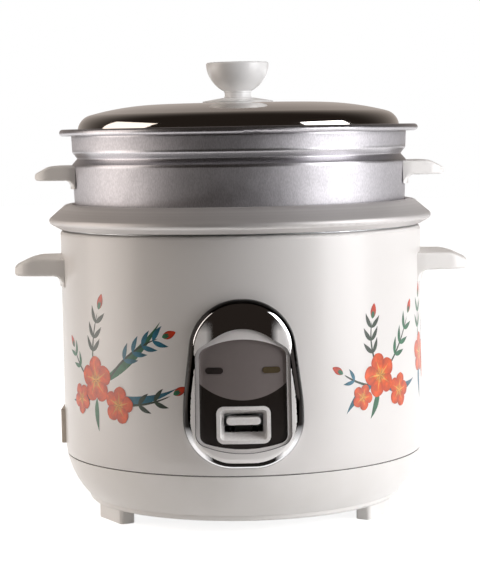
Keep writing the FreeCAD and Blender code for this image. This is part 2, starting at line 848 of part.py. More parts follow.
# Power inlet: a flanged socket through the drum's left wall, with two pins
inlet = inlet_block(inlet_width / 2, inlet_height / 2, neck_back, drum_radius + inlet_proud)
outer_face_edges = []
for edge in inlet.Edges:
    if all(vertex.X < -drum_radius for vertex in edge.Vertexes):
        outer_face_edges.append(edge)
inlet = inlet.makeFillet(inlet_edge_round, outer_face_edges)
inlet = inlet.cut(disc(drum_radius + seat_gap, 0, drum_top))
neck = inlet_block(neck_half_width, neck_half_height, neck_back, drum_radius + inlet_proud / 2)
socket_floor = neck_back + inlet_wall
recess = inlet_block(
    neck_half_width - inlet_wall, neck_half_height - inlet_wall, socket_floor, drum_radius + inlet_proud
)
pin_outer = drum_radius + inlet_proud - inlet_pin_inset
pin_inner = neck_back - inlet_tail


def inlet_pin(side, radius):
    y = side * inlet_pin_pitch / 2
    return rod_along(X_AXIS, radius, pin_outer - pin_inner, -pin_outer, y, inlet_middle)


pin_holes = [inlet_pin(side, inlet_pin_radius + fit_gap) for side in (-1, 1)]
save("inlet_socket", inlet.fuse(neck).cut([recess] + pin_holes).removeSplitter())
save("inlet_pins", [inlet_pin(side, inlet_pin_radius) for side in (-1, 1)])

# Heating plate on its posts, with screws from below and two terminals
cup_hole = cup_radius + run_gap
heater = spin(closed_face([
    (cup_hole, heater_under),
    (heater_radius, heater_under, heater_round),
    (heater_radius, heater_top, heater_round),
    (cup_hole, heater_top),
]))
heater_grip = heater_thickness / 2
screw_tip = heater_under + heater_grip
heater_bore = disc(small_hole, heater_under, screw_tip + fit_gap, post_circle)
save("heating_plate", heater.cut(around(heater_bore, THIRDS)))
post = disc(post_radius, floor_top, heater_under, post_circle)
save("heater_posts", around(post.cut(disc(small_hole, floor_top, heater_under, post_circle)), THIRDS))
heater_screw = disc(screw_head_radius, floor_under - screw_head, floor_under, post_circle)
heater_screw = heater_screw.fuse(disc(screw_radius, floor_under - screw_head, screw_tip, post_circle))
save("heater_screws", around(heater_screw, THIRDS))
terminal_tip = heater_under - terminal_length
save("heater_terminals", [disc(terminal_radius, terminal_tip, heater_under, x, y) for x, y in terminals_at])

# Magnetic thermostat: guide, sprung cup with its ferrite, magnet on the lift rod, release spring
guide_floor = floor_under - guide_depth
guide_under = guide_floor - guide_sheet
guide = pressed([
    (rod_radius + run_gap / 2, guide_floor),
    (guide_radius, guide_floor, 2 * guide_sheet),
    (guide_radius, floor_under, 2 * guide_sheet),
    (guide_radius + guide_flange, floor_under),
], -guide_sheet)
save("thermostat_guide", guide)
cup = pressed([
    (0, heater_top),
    (cup_radius, heater_top, 2 * cup_wall),
    (cup_radius, heater_top - cup_length),
], -cup_wall)
save("sensor_cup", cup)
cup_roof = heater_top - cup_wall
ferrite_under = cup_roof - ferrite_thickness
save("sensor_ferrite", disc(ferrite_radius, ferrite_under, cup_roof))

# Lever stroke: the bar's drop sets the angle, and the angle sets the magnet's lift
bar_z = tray_z + bar_stroke / 2
lever_angle = math.asin(bar_stroke / (tray_back + pivot_y))
rod_lift = lever_arm * math.sin(lever_angle)
magnet_top = ferrite_under - cup_travel - rod_lift - run_gap
magnet_under = magnet_top - magnet_thickness
collar_top = guide_under - release_spring_length
collar_under = collar_top - rod_collar
save("magnet", disc(magnet_radius, magnet_under, magnet_top))
rod_collar_disc = disc(rod_collar_radius, collar_under, collar_top)
save("lift_rod", disc(rod_radius, collar_under, magnet_under).fuse(rod_collar_disc).removeSplitter())


def spring(radius, low, high, turns):
    """Compression spring of round wire between two levels."""
    height = high - low - spring_wire
    coil = Part.makeHelix(height / turns, height, radius)
    section = Part.Wire(Part.makeCircle(spring_wire / 2, Vector(radius, 0, 0), Y_AXIS))
    solid = Part.Wire(coil).makePipeShell([section], True, True)
    solid.translate(UP * (low + spring_wire / 2))
    return solid


cup_spring_radius = (ferrite_radius + cup_radius - cup_wall) / 2
save("cup_spring", spring(cup_spring_radius, guide_floor, cup_roof, cup_spring_turns))
save("release_spring", spring(release_spring_radius, collar_top, guide_under, release_spring_turns))

# Switch lever: a bent strip on a pivot barrel, from behind the tray back to the lift rod
bar_top = bar_z + bar_height / 2
upright_gap = (bar_top - pivot_z) * math.sin(lever_angle) + run_gap
upright_front = -(tray_back - upright_gap)
arm_under = pivot_z - barrel_radius + lever_bite - lever_sheet
lever_rise = rod_collar_radius * math.sin(lever_angle) + run_gap
rear_under = collar_under - lever_rise - lever_sheet
lever_tip = rod_collar_radius + lever_past
joggle_start = -(lever_tip + 3 * (arm_under - rear_under))
joggle_end = -(lever_tip + arm_under - rear_under)
strip = sheet_face([
    (upright_front, bar_top),
    (upright_front, arm_under, lever_bend),
    (joggle_start, arm_under, lever_bend),
    (joggle_end, rear_under, lever_bend),
    (lever_tip, rear_under),
], lever_sheet)
lever = turned(across(strip, lever_width), 90)
barrel_length = bracket_inside - 2 * run_gap
lever = lever.fuse(rod_along(X_AXIS, barrel_radius, barrel_length, -barrel_length / 2, pivot_y, pivot_z))
lever = lever.cut(
    rod_along(X_AXIS, pivot_radius + pin_gap, barrel_length, -barrel_length / 2, pivot_y, pivot_z)
)
save("switch_lever", lever)
bar_points = rounded_rectangle(bar_width, bar_height, 0, bar_z, bar_height / 2)
bar = forward(panel_wire(bar_points), -upright_front, drum_radius + bar_proud)
bar_front = []
for edge in bar.Edges:
    if all(vertex.Y < -drum_radius for vertex in edge.Vertexes):
        bar_front.append(edge)
save("lever_cap", bar.makeFillet(bar_height / 4, bar_front))

# Bracket that hangs from the liner's floor, its screws and the pivot pin
web_top = floor_under - bracket_depth
half_inside = bracket_inside / 2
bracket_face = sheet_face([
    (-half_inside - bracket_flange, floor_under),
    (-half_inside, floor_under, 2 * bracket_sheet),
    (-half_inside, web_top, bracket_sheet),
    (half_inside, web_top, bracket_sheet),
    (half_inside, floor_under, 2 * bracket_sheet),
    (half_inside + bracket_flange, floor_under),
], -bracket_sheet)
pin_length = bracket_inside + 2 * (bracket_sheet + pin_end)


def pivot(radius):
    return rod_along(X_AXIS, radius, pin_length, -pin_length / 2, pivot_y, pivot_z)


bracket = across(bracket_face, bracket_length, bracket_middle)
flange_under = floor_under - bracket_sheet
bracket_holes = [disc(small_hole, flange_under, floor_under, x, y) for x, y in bracket_screws_at]
save("switch_bracket", bracket.cut(bracket_holes + [pivot(pivot_radius + seat_gap)]))
save("pivot_pin", pivot(pivot_radius))
bracket_screws = []
for x, y in bracket_screws_at:
    head = disc(screw_head_radius, floor_top, floor_top + screw_head, x, y)
    bracket_screws.append(head.fuse(disc(screw_radius, flange_under - screw_head, floor_top, x, y)))
save("bracket_screws", bracket_screws)

# Micro switch on the bracket's web, its button drawn where the pressed lever leaves it
micro_y = pivot_y - micro_ahead
micro_top = web_top + micro_height
button_top = arm_under - micro_ahead * math.sin(lever_angle) - run_gap
micro_low = (-micro_width / 2, micro_y - micro_length / 2, web_top)
micro = block(micro_low, (micro_width / 2, micro_y + micro_length / 2, micro_top))
save("micro_switch", micro.fuse(disc(micro_width / 4, micro_top, button_top, 0, micro_y)).removeSplitter())

# Warm-keeping thermostat and thermal fuse under the liner's floor
warmer_under = floor_under - warmer_height
save("warm_thermostat", disc(warmer_radius, warmer_under, floor_under, small_part_offset, small_part_offset))
fuse_z = floor_under - fuse_radius
fuse_x = -small_part_offset - fuse_length / 2
save("thermal_fuse", rod_along(X_AXIS, fuse_radius, fuse_length, fuse_x, small_part_offset, fuse_z))

# Cooking pot, spun aluminium, with a ledge for the steamer and a wide ring turned under at its edge
pot = pressed([
    (0, heater_top + pot_sheet),
    (pot_radius, heater_top + pot_sheet, pot_round),
    (pot_radius, ledge_z, pot_sheet + fit_gap),
    (collar_inside, ledge_z, ledge_round),
    (collar_inside, ring_top, pot_sheet + ledge_round),
    (collar_inside + ring_shelf, ring_top - ring_fall, ring_shoulder_round),
    (drum_radius + ring_overhang, ring_top - ring_drop, 2 * pot_sheet),
    (drum_radius + ring_turn, drum_top + ring_gap),
], -pot_sheet)
save("cooking_pot", pot)

# Steamer tier, pressed aluminium: perforated floor, groove that carries the lid, rim rolled over
rim_z = groove_top + upper_height
rim_radius = upper_radius + upper_flare + rim_width
steamer = pressed([
    (0, ledge_z),
    (steamer_foot, ledge_z, steamer_foot_round),
    (steamer_radius, groove_z, groove_round),
    (ridge_radius, ridge_z, groove_round / 2),
    (upper_radius, groove_top, groove_round),
    (upper_radius + upper_flare, rim_z, rim_round),
    (rim_radius, rim_z, rim_roll),
    (rim_radius, rim_z - 2 * rim_roll, rim_roll),
    (rim_radius - 2 * rim_roll, rim_z - 2 * rim_roll),
], steamer_sheet)
steam_holes = []
for circle in range(steam_hole_circles + 1):
    count = max(1, circle * holes_per_circle)
    hole = disc(steam_hole_radius, ledge_z, ledge_z + steamer_sheet, circle * steam_hole_pitch)
    steam_holes += around(hole, [360 / count * k for k in range(count)])
ear_top = groove_z - ear_drop
ear_z = ear_top - ear_height / 2


def ear_rivet(side):
    y = side * ear_rivet_pitch / 2
    inner = steamer_radius - steamer_sheet - steamer_taper
    return wall_screw(
        inner, steamer_radius, y, ear_z, screw_grip, ear_rivet_radius, ear_rivet_head, ear_rivet_head_height
    )


def ear_bore(side):
    y = side * ear_rivet_pitch / 2
    start = steamer_radius / 2
    tip = math.sqrt(steamer_radius ** 2 - y ** 2) + screw_grip + fit_gap
    return rod_along(X_AXIS, ear_rivet_radius + fit_gap, tip - start, start, y, ear_z)


ear_bores = handle_pair(ear_bore)
save("steamer_bowl", steamer.cut(steam_holes + ear_bores))
save("steamer_rivets", handle_pair(ear_rivet))
ear_rounds = (ear_brow_round, ear_nose_round, ear_lip_round, ear_edge_round)
ear = side_handle(
    steamer_radius, steamer_radius + ear_reach, ear_top, ear_top - ear_height, ear_flare, ear_root, ear_cove,
    (ear_width, ear_tip_width, ear_tip_round), ear_slope, ear_nose, ear_rounds,
)
ear = ear.cut(ear_bores)
save("steamer_right_handle", ear)
save("steamer_left_handle", turned(ear, 180))

# Lid, drawn stainless steel: flange in the steamer's groove, low crown, steam vent
lid_radius = lid_flange_radius - lid_flange
crown_fall = math.atan2(lid_crown_drop, lid_crown_break)
shoulder_reach = lid_shoulder_round * math.tan((math.pi / 2 - crown_fall) / 2)
crown_reach = math.hypot(lid_crown_drop, lid_crown_break) - shoulder_reach - fit_gap
crown_radius = crown_reach / math.tan(crown_fall / 2)
lid = pressed([
    (0, lid_top),
    (lid_radius - lid_crown_break, lid_top, crown_radius),
    (lid_radius, lid_top - lid_crown_drop, lid_shoulder_round),
    (lid_radius, lid_floor + lid_sheet, 2 * lid_sheet),
    (lid_flange_radius, lid_floor + lid_sheet),
], -lid_sheet)
lid_vent = disc(lid_vent_radius, lid_floor, lid_top, lid_radius - lid_vent_inset)
knob_bore = disc(knob_screw_radius + fit_gap, lid_floor, knob_foot + knob_screw_length)
save("lid_dome", lid.cut([lid_vent, knob_bore]))

# Knob with a flared collar, held by a screw through the lid
collar = spin(closed_face([
    (0, lid_top),
    (collar_radius, lid_top, collar_edge_round),
    (collar_radius, lid_top + collar_edge, collar_edge_round),
    (neck_radius + collar_shoulder, knob_foot, collar_round),
    (0, knob_foot),
]))
save("knob_collar", collar.cut(knob_bore))
knob_top = knob_foot + knob_height
bowl_z = knob_foot + neck_height
bend_radius = neck_radius + knob_fullness * (knob_radius - neck_radius)
bowl_bend = Vector(bend_radius, 0, bowl_z + knob_fullness_at * (knob_top - bowl_z))
edge_z = knob_top - knob_edge_round
rim_inner = knob_radius - knob_edge_round - knob_rim
knob_edges = [Part.Arc(Vector(neck_radius, 0, bowl_z), bowl_bend, Vector(knob_radius, 0, edge_z)).toShape()]
knob_edges += path([
    (knob_radius, edge_z),
    (knob_radius, knob_top, knob_edge_round),
    (rim_inner, knob_top, knob_dish / 2),
    (rim_inner - knob_dish, knob_top - knob_dish, knob_dish),
    (0, knob_top - knob_dish),
    (0, knob_foot),
    (neck_radius, knob_foot, neck_bead_round),
    (neck_radius, knob_foot + neck_bead, neck_bead_round),
    (neck_radius - neck_bead_round, knob_foot + neck_bead),
    (neck_radius - neck_bead_round, bowl_z - neck_bead),
    (neck_radius, bowl_z - neck_bead, neck_bead_round),
    (neck_radius, bowl_z),
])
knob = spin(Part.Face(Part.Wire(Part.__sortEdges__(knob_edges))))
save("lid_knob", knob.cut(knob_bore))
head_top = lid_top - lid_sheet
knob_screw = disc(knob_screw_head, head_top - screw_head, head_top)
knob_screw = knob_screw.fuse(disc(knob_screw_radius, head_top, knob_foot + knob_screw_length))
save("knob_screw", knob_screw.removeSplitter())
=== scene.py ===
import math

import bmesh
import bpy
from mathutils import Matrix, Vector


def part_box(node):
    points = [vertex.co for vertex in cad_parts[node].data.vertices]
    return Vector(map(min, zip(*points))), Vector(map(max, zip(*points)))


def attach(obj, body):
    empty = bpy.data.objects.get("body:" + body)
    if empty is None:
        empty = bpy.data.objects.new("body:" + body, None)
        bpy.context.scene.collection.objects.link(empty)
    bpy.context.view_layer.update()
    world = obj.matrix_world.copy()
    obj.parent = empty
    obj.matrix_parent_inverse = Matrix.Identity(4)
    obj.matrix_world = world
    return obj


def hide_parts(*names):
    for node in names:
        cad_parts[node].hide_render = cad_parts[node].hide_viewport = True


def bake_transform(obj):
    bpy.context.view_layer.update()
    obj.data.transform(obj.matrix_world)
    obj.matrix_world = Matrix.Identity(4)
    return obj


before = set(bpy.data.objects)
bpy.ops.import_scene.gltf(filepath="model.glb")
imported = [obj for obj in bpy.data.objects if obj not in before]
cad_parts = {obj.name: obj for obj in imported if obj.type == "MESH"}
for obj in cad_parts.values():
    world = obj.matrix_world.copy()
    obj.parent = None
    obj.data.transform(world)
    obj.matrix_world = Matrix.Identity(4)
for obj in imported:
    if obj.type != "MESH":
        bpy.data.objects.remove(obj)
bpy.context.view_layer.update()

# Bottom cover and three feet: injection-moulded white polypropylene.
# The cover is a shallow dish bolted up from below; each foot is a rounded block pegged through it.
colour_mix = {"data_type": "RGBA"}


def linear(hex_colour):
    """sRGB hex to the linear colour that the shaders take."""
    parts = [int(hex_colour[k:k + 2], 16) / 255 for k in (1, 3, 5)]
    return tuple(c / 12.92 if c <= 0.04045 else ((c + 0.055) / 1.055) ** 2.4 for c in parts) + (1.0,)


def add_node(tree, kind, settings=None, inputs=None):
    """Adds a shader node with its settings, and sets each input or links it to a node or socket."""
    node = tree.nodes.new("ShaderNode" + kind)
    for name, value in (settings or {}).items():
        setattr(node, name, value)
    for name, value in (inputs or {}).items():
        if isinstance(value, bpy.types.Node):
            value = next(socket for socket in value.outputs if socket.enabled)
        if isinstance(value, bpy.types.NodeSocket):
            tree.links.new(value, node.inputs[name])
        else:
            node.inputs[name].default_value = value
    return node


def new_material(name):
    """Empty material and its node tree."""
    material = bpy.data.materials.new(name)
    material.use_nodes = True
    material.node_tree.nodes.clear()
    return material, material.node_tree


def finish(name, colours, grain_mm, roughness, skin_mm=1.0, relief_mm=0.0, turned=False, **sockets):
    """Material whose colour and roughness wander over patches of a size in mm, with a fine relief on it.

    A turned finish wanders with the distance from the drum's axis and the height alone, as a lathe leaves it.
    """
    material, tree = new_material(name)
    place = add_node(tree, "TexCoord").outputs["Object"]
    if turned:
        axes = add_node(tree, "SeparateXYZ", {}, {"Vector": place})
        flat = add_node(tree, "CombineXYZ", {}, {"X": axes.outputs["X"], "Y": axes.outputs["Y"]})
        reach = add_node(tree, "VectorMath", {"operation": "LENGTH"}, {0: flat})
        place = add_node(tree, "CombineXYZ", {}, {"X": reach.outputs["Value"], "Y": axes.outputs["Z"]})
    spread = {"From Min": 0.3, "From Max": 0.7}
    patches = add_node(tree, "TexNoise", {}, {"Vector": place, "Scale": 1000 / grain_mm, "Detail": 3.0})
    blend = add_node(tree, "MapRange", {}, {"Value": patches, **spread})
    colour = add_node(tree, "Mix", colour_mix, {0: blend, 6: linear(colours[0]), 7: linear(colours[1])})
    wear = add_node(tree, "TexNoise", {}, {"Vector": place, "Scale": 2000 / grain_mm, "Detail": 2.0})
    limits = {**spread, "To Min": roughness[0], "To Max": roughness[1]}
    gloss = add_node(tree, "MapRange", {}, {"Value": wear, **limits})
    inputs = {"Base Color": colour, "Roughness": gloss, **sockets}
    if relief_mm:
        skin = add_node(tree, "TexNoise", {}, {"Vector": place, "Scale": 1000 / skin_mm, "Detail": 2.0})
        inputs["Normal"] = add_node(tree, "Bump", {}, {"Height": skin, "Distance": relief_mm / 1000})
    shader = add_node(tree, "BsdfPrincipled", {}, inputs)
    add_node(tree, "OutputMaterial", {}, {"Surface": shader})
    return material


def dress(material, *names):
    """Gives CAD nodes a finish."""
    for name in names:
        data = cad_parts[name].data
        data.materials.clear()
        data.materials.append(material)


# Moulded polypropylene: an even soft gloss over white, with faint flow marks of about 30 mm.
moulded_white = finish(
    "moulded_white_polypropylene", ("#f3f1ef", "#efedea"), grain_mm=30, roughness=(0.28, 0.34), IOR=1.5
)
dress(moulded_white, "bottom_cover", "rear_foot", "front_left_foot", "front_right_foot")

# Base ring: the same moulded polypropylene, with a tongue that stands inside the drum's lower edge.
# Its upper outer edge is rounded, so that the seam under the drum reads as a dark line over a bright one;
# painted shade darkens that line further.
# Painted shade: the colour that creases darken to, where another piece occludes them.
painted_crease_shade = "#3a3531"


def with_painted_crease_shade(clean, name, reach_mm):
    """Copy of a finish with painted shade darkening its creases, where another piece stands over it within a
    reach in mm.
    """
    shut_in, open_air = 0.45, 0.75
    material = clean.copy()
    material.name = name
    tree = material.node_tree
    shader = next(node for node in tree.nodes if node.type == "BSDF_PRINCIPLED")
    plain = shader.inputs["Base Color"].links[0].from_socket
    cover = add_node(tree, "AmbientOcclusion", {"samples": 8}, {"Distance": reach_mm / 1000})
    limits = {"From Min": shut_in, "From Max": open_air}
    unshaded = add_node(tree, "MapRange", {}, {"Value": cover.outputs["AO"], **limits})
    colour = add_node(tree, "Mix", colour_mix, {0: unshaded, 6: linear(painted_crease_shade), 7: plain})
    tree.links.new(next(socket for socket in colour.outputs if socket.enabled), shader.inputs["Base Color"])
    return material


# Painted shade darkens the base ring's seam under the drum's lower edge.
seam_shaded_white = with_painted_crease_shade(moulded_white, "moulded_white_with_painted_seam_shade", reach_mm=2.5)
dress(seam_shaded_white, "base_ring")

# Base bolts: zinc-plated steel, from the cover up to nuts on the liner's floor. Passivated zinc is a
# bluish grey that turns yellowish in patches.
zinc_plate = finish(
    "zinc_plated_steel", ("#b9bcc2", "#a9a89f"), grain_mm=3, roughness=(0.28, 0.42), Metallic=1.0
)
dress(zinc_plate, "base_bolts")

# Body shell: rolled steel sheet with a folded top edge, sprayed with gloss white enamel and stoved.
# Enamel gives a soft reflection over white, with a faint orange peel; its waves, 2 mm across in the
# real coat, are drawn at 9 mm, because finer ones would only show as noise at the picture's size.
enamel_patch_mm = 60
peel_mm = 9
peel_height = 0.000008
fired_gloss = {"Roughness": 0.34, "IOR": 1.5, "Coat Weight": 0.3, "Coat Roughness": 0.2, "Coat IOR": 1.5}
stove_enamel, tree = new_material("stove_enamelled_steel")
place = add_node(tree, "TexCoord").outputs["Object"]
patches = add_node(tree, "TexNoise", {}, {"Vector": place, "Scale": 1000 / enamel_patch_mm, "Detail": 2.0})
colour = add_node(tree, "Mix", colour_mix, {0: patches, 6: linear("#eae8e6"), 7: linear("#e7e4e2")})
peel = add_node(tree, "TexNoise", {}, {"Vector": place, "Scale": 1000 / peel_mm, "Detail": 1.0})
wave = add_node(tree, "Bump", {}, {"Height": peel, "Distance": peel_height})
shader = add_node(tree, "BsdfPrincipled", {}, {
    "Base Color": colour, "Normal": wave, "Coat Normal": wave, **fired_gloss,
})
add_node(tree, "OutputMaterial", {}, {"Surface": shader})
dress(stove_enamel, "body_shell")

# Printed sprays on the shell: transfer inks, fired to the enamel's gloss. Each spray is a set of bent stems
# with round five-petalled blossoms, drop buds and paired leaves. Every motif lies on a film of its own, 3
# thousandths of a millimetre over the one before, so that later ones cover earlier ones as in print.
shell_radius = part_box("body_shell")[1][0]
ink_film = 0.000003
stem_width = 1.6
leaf_inks = {
    "green": ("#2f7a55", "#174a30"),
    "teal": ("#1f7590", "#12505f"),
    "dark": ("#2f4432", "#20221c"),
}
petal_inks = ("#f4b53a", "#ea5a12", "#b8300e")
streak_inks = ("#f2c25c", "#e8752f")
stamen_inks = ("#a8321c", "#f0bd58")
bud_inks = ("#e8803a", "#d83d12", "#9e2614")


def blade(sketch, start, heading, length, width, bend, inks, fullness=0.8, bluntness=1.0):
    """Tapered shape from a start (u, z) in mm along a bent line; returns where it ends and its heading there.

    u runs round the drum from the middle of its front. Two inks run from root to tip; of three, the last one
    is the edge's. Fullness moves the widest place towards the tip, bluntness under 1 rounds the ends.
    """
    rows, columns = 18, 6
    root_fade, edge_depth = 2.8, 0.8
    film = shell_radius + ink_film * (2 + sketch["films"])
    sketch["films"] += 1
    first = len(sketch["points"])
    u, z = start
    root, body, edge = [linear(ink) for ink in (inks if len(inks) == 3 else (inks[0], inks[0], inks[1]))]
    for row in range(rows + 1):
        along = row / rows
        angle = math.radians(heading + bend * along)
        half = width / 2 * max(math.sin(math.pi * along ** fullness), 0.0) ** bluntness
        for column in range(columns + 1):
            across = 2 * column / columns - 1
            pu = (u - math.sin(angle) * half * across) / 1000
            pz = (z + math.cos(angle) * half * across) / 1000
            turn = pu / shell_radius
            sketch["points"].append((film * math.sin(turn), -film * math.cos(turn), pz))
            rib = min(1.0, root_fade * along)
            lean = edge_depth * across ** 2 if len(inks) == 3 else edge_depth * along
            middle = [a + (b - a) * rib for a, b in zip(root, body)]
            sketch["inks"].append([a + (b - a) * lean for a, b in zip(middle, edge)])
        u += math.cos(angle) * length / rows
        z += math.sin(angle) * length / rows
    step = columns + 1
    for row in range(rows):
        for column in range(columns):
            corner = first + row * step + column
            sketch["faces"].append((corner, corner + step, corner + step + 1, corner + 1))
    return u, z, heading + bend


def blossom(sketch, middle, size, turn):
    """Five round petals about a middle, each with a pale streak, and a ring of stamens."""
    petals, stamens = 5, 7
    for k in range(petals):
        aim = turn + 360 / petals * k
        blade(sketch, middle, aim, size * 0.52, size * 0.44, 14, petal_inks, fullness=1.5, bluntness=0.62)
        blade(sketch, middle, aim + 5, size * 0.4, size * 0.035, 12, streak_inks, fullness=0.6)
    for k in range(stamens):
        aim = turn + 20 + 360 / stamens * k
        blade(sketch, middle, aim, size * 0.17, size * 0.04, 25, stamen_inks, fullness=1.6)


def bud(sketch, root, heading, size):
    """Drop-shaped bud in two green sepals."""
    splay, curl = 16, 22
    blade(sketch, root, heading, size, size * 0.5, 6, bud_inks, fullness=0.9, bluntness=0.75)
    for side in (-1, 1):
        aim = heading + side * splay
        blade(sketch, root, aim, size * 0.55, size * 0.2, -side * curl, leaf_inks["green"])


def leaf_pairs(sketch, start, heading, length, bend, shares, size, leaf_ink):
    """Stem with pairs of leaves at shares of its length; returns where it ends and its heading there."""
    splay, curl = 48, 26
    steps = 24
    stem_inks = leaf_inks["dark"]
    end = blade(sketch, start, heading, length, stem_width, bend, stem_inks, fullness=0.5, bluntness=0.35)
    for share in shares:
        u, z = start
        for k in range(int(steps * share)):
            angle = math.radians(heading + bend * k / steps)
            u += math.cos(angle) * length / steps
            z += math.sin(angle) * length / steps
        for side in (-1, 1):
            aim = heading + bend * share + side * splay
            blade(sketch, (u, z), aim, size, size * 0.28, -side * curl, leaf_inks[leaf_ink], fullness=0.75)
    return end


def add_object(name, data):
    """Object with some data, linked into the scene."""
    thing = bpy.data.objects.new(name, data)
    bpy.context.collection.objects.link(thing)
    return thing


# Ink lies a little unevenly: the colour deepens in blotches of about 4 mm.
blotch_mm = 4
transfer_ink, tree = new_material("fired_transfer_ink")
ink = add_node(tree, "Attribute", {"attribute_name": "ink"})
place = add_node(tree, "TexCoord").outputs["Object"]
blotch = add_node(tree, "TexNoise", {}, {"Vector": place, "Scale": 1000 / blotch_mm, "Detail": 3.0})
depth = add_node(tree, "MapRange", {}, {"Value": blotch, "From Min": 0.35, "From Max": 0.65, "To Min": 0.7})
colour = add_node(tree, "Mix", {**colour_mix, "blend_type": "MULTIPLY"}, {
    0: 1.0, 6: ink.outputs["Color"], 7: depth,
})
shader = add_node(tree, "BsdfPrincipled", {}, {"Base Color": colour, **fired_gloss})
add_node(tree, "OutputMaterial", {}, {"Surface": shader})

# Rows of a spray, in mm and degrees. Leaves: start, heading, length, width, bend, ink. Stems: start, heading,
# length, bend, shares that carry a leaf pair, leaf size and ink, bud size. Blossoms: middle, size, turn.
sprays = {
    "left_spray_print": {
        "leaves": (
            ((-116, 104), 24, 76, 6.5, 32, "green"),
            ((-110, 98), -14, 66, 6, 44, "teal"),
            ((-122, 98), 214, 34, 6.5, -40, "teal"),
            ((-118, 94), 262, 24, 5, 26, "green"),
        ),
        "stems": (
            ((-122, 110), 96, 46, -30, (0.4, 0.62, 0.84), 13, "dark", 12),
            ((-106, 106), 52, 58, -34, (0.42, 0.6, 0.78, 0.94), 13, "teal", 11),
            ((-128, 106), 148, 30, -24, (0.5, 0.85), 11, "green", 10),
            ((-96, 92), -4, 46, 30, (0.45, 0.72), 12, "dark", 11),
        ),
        "blossoms": (((-119, 107), 33, 18), ((-139, 92), 22, 50), ((-95, 91), 26, 4)),
    },
    "right_spray_print": {
        "leaves": (
            ((104, 104), 196, 36, 6, 42, "teal"),
            ((112, 100), -18, 46, 6.5, 40, "teal"),
            ((106, 98), 258, 22, 5, -24, "green"),
        ),
        "stems": (
            ((106, 112), 122, 36, -46, (0.4, 0.66, 0.9), 12, "dark", 11),
            ((114, 110), 40, 48, 20, (0.36, 0.58, 0.8), 13, "green", 11),
            ((96, 102), 168, 24, -22, (0.6,), 10, "teal", 10),
        ),
        "blossoms": (((108, 108), 31, 30), ((131, 95), 24, 0), ((90, 94), 18, 62)),
    },
    "flank_spray_print": {
        "leaves": (
            ((174, 112), 258, 30, 6, 36, "teal"),
            ((180, 112), -40, 34, 6, 40, "green"),
        ),
        "stems": (
            ((173, 122), 106, 34, -30, (0.45, 0.75), 13, "green", 12),
            ((184, 120), 44, 34, 24, (0.4, 0.7), 12, "dark", 10),
        ),
        "blossoms": (((175, 117), 29, 12), ((194, 106), 20, 40)),
    },
}
for name, motifs in sprays.items():
    sketch = {"points": [], "faces": [], "inks": [], "films": 0}
    for start, heading, length, width, bend, leaf_ink in motifs["leaves"]:
        blade(sketch, start, heading, length, width, bend, leaf_inks[leaf_ink])
    for *stem, bud_size in motifs["stems"]:
        u, z, heading = leaf_pairs(sketch, *stem)
        bud(sketch, (u, z), heading, bud_size)
    for middle, size, turn in motifs["blossoms"]:
        blossom(sketch, middle, size, turn)
    mesh = bpy.data.meshes.new(name)
    mesh.from_pydata(sketch["points"], [], sketch["faces"])
    layer = mesh.color_attributes.new("ink", "FLOAT_COLOR", "POINT")
    for point, value in zip(layer.data, sketch["inks"]):
        point.color = value
    mesh.materials.append(transfer_ink)
    mesh.shade_smooth()
    spray = add_object(name, mesh)
    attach(spray, "housing")

# Inner liner: pressed galvanised sheet that hangs by its flange in the drum and shields it from the heat.
# Zinc spangle gives it flat grey flakes of about 6 mm.
spangle_mm = 6
galvanised, tree = new_material("galvanised_sheet")
place = add_node(tree, "TexCoord").outputs["Object"]
spangle = add_node(tree, "TexVoronoi", {}, {"Vector": place, "Scale": 1000 / spangle_mm})
flake = add_node(tree, "SeparateColor", {}, {"Color": spangle.outputs["Color"]})
colour = add_node(tree, "Mix", colour_mix, {
    0: flake.outputs["Red"], 6: linear("#a9abad"), 7: linear("#c3c5c6"),
})
gloss = add_node(tree, "MapRange", {}, {"Value": flake.outputs["Green"], "To Min": 0.32, "To Max": 0.5})
shader = add_node(tree, "BsdfPrincipled", {}, {"Base Color": colour, "Metallic": 1.0, "Roughness": gloss})
add_node(tree, "OutputMaterial", {}, {"Surface": shader})
dress(galvanised, "inner_liner")

# Heating plate: cast aluminium with the heater inside, on three zinc-plated posts and screws.
# Its top is turned flat, which leaves fine rings; the 0.3 mm feed is drawn at 1.2 mm to show at all.
cast_aluminium = finish(
    "turned_cast_aluminium", ("#b4b4b3", "#9e9d9b"), grain_mm=6, roughness=(0.36, 0.52),
    skin_mm=1.2, relief_mm=0.02, turned=True, Metallic=1.0,
)
dress(cast_aluminium, "heating_plate")
dress(zinc_plate, "heater_posts", "heater_screws")

# Heater terminals: two bare brass studs on the heating plate.
# Tarnish leaves brown patches of about 3 mm in their yellow shine.
bare_brass = finish(
    "tarnished_brass", ("#cfae66", "#b08c48"), grain_mm=3, roughness=(0.25, 0.4), Metallic=1.0
)
dress(bare_brass, "heater_terminals")

# Magnetic thermostat: sprung aluminium cup with a ferrite under its roof, a magnet on the lift rod and
# a guide under the liner. Spun aluminium has a pale satin sheen, its lathe marks of 0.3 mm drawn at 1.4 mm;
# ferrite is a dull black ground ceramic; rod, guide and springs are zinc-plated steel.
spun_aluminium = finish(
    "satin_spun_aluminium", ("#dad7d6", "#cecbca"), grain_mm=5, roughness=(0.52, 0.6),
    skin_mm=1.4, relief_mm=0.004, turned=True, Metallic=0.7,
)
ground_ferrite = finish(
    "ground_ferrite", ("#2b2b2e", "#38383b"), grain_mm=1.6, roughness=(0.5, 0.65), IOR=2.0
)
dress(spun_aluminium, "sensor_cup")
dress(ground_ferrite, "sensor_ferrite", "magnet")
dress(zinc_plate, "lift_rod", "thermostat_guide", "cup_spring", "release_spring")
# The two springs close up as the cup and the rod move, so each stiff solid is hidden and a copy of its mesh,
# baked into the frame, stands in for it as a coil; the bodies at its ends are listed, but the coil is not
# stretched between them.
for name, lower_body, upper_body in (
    ("cup_spring", "housing", "sensor"),
    ("release_spring", "magnet_rod", "housing"),
):
    coil = add_object(name + "_coil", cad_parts[name].data.copy())
    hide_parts(name)
    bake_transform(coil)
